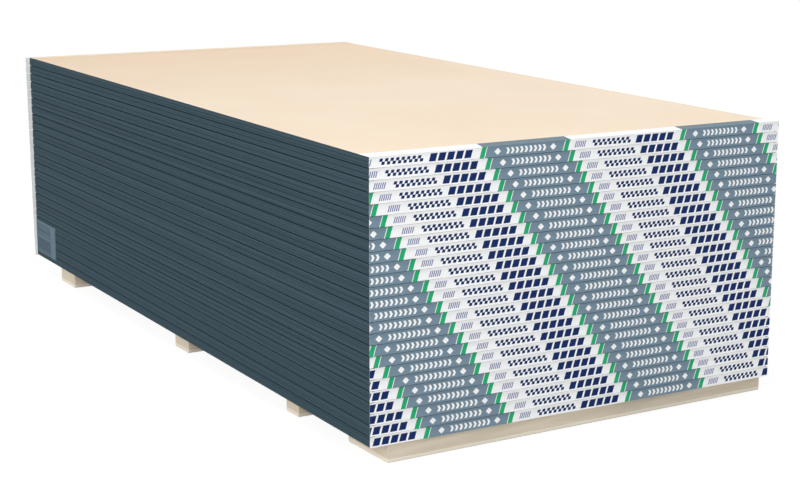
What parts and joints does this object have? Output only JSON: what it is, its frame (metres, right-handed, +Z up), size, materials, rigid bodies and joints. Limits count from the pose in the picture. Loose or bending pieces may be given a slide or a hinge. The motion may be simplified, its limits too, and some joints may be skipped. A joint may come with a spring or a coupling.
{
  "type": "drywall sheet stack",
  "caption": "Stack of full drywall sheets, taped in pairs at both ends and piled flat on timber skids with fork gaps between them.",
  "frame": {"origin": "on the floor, under the middle of the stack", "axes": "+X across the sheets, +Y along the sheets away from the pictured end, +Z up"},
  "size_m": [1.2472, 2.4416, 0.7411],
  "materials": {
    "board_paper": "cream back paper, with slate face paper wrapped round the long edges",
    "end_tape": "white paper tape printed with slate fields and green stripes",
    "skid_timber": "sawn pale softwood",
    "label_film": "thin satin bluish label"
  },
  "bodies": {
    "root": {"sheet_01": "board_paper", "sheet_02": "board_paper", "sheet_03": "board_paper", "sheet_04": "board_paper", "sheet_05": "board_paper", "sheet_06": "board_paper", "sheet_07": "board_paper", "sheet_08": "board_paper", "sheet_09": "board_paper", "sheet_10": "board_paper", "sheet_11": "board_paper", "sheet_12": "board_paper", "sheet_13": "board_paper", "sheet_14": "board_paper", "sheet_15": "board_paper", "sheet_16": "board_paper", "sheet_17": "board_paper", "sheet_18": "board_paper", "sheet_19": "board_paper", "sheet_20": "board_paper", "sheet_21": "board_paper", "sheet_22": "board_paper", "sheet_23": "board_paper", "sheet_24": "board_paper", "sheet_25": "board_paper", "sheet_26": "board_paper", "sheet_27": "board_paper", "sheet_28": "board_paper", "sheet_29": "board_paper", "sheet_30": "board_paper", "sheet_31": "board_paper", "sheet_32": "board_paper", "sheet_33": "board_paper", "sheet_34": "board_paper", "sheet_35": "board_paper", "sheet_36": "board_paper", "sheet_37": "board_paper", "sheet_38": "board_paper", "sheet_39": "board_paper", "sheet_40": "board_paper", "sheet_41": "board_paper", "sheet_42": "board_paper", "sheet_43": "board_paper", "sheet_44": "board_paper", "sheet_45": "board_paper", "sheet_46": "board_paper", "sheet_47": "board_paper", "sheet_48": "board_paper", "sheet_49": "board_paper", "sheet_50": "board_paper", "end_tapes_front": "end_tape", "end_tapes_back": "end_tape", "skid_1": "skid_timber", "skid_2": "skid_timber", "skid_3": "skid_timber", "skid_4": "skid_timber", "label": "label_film"}
  },
  "joints": []
}
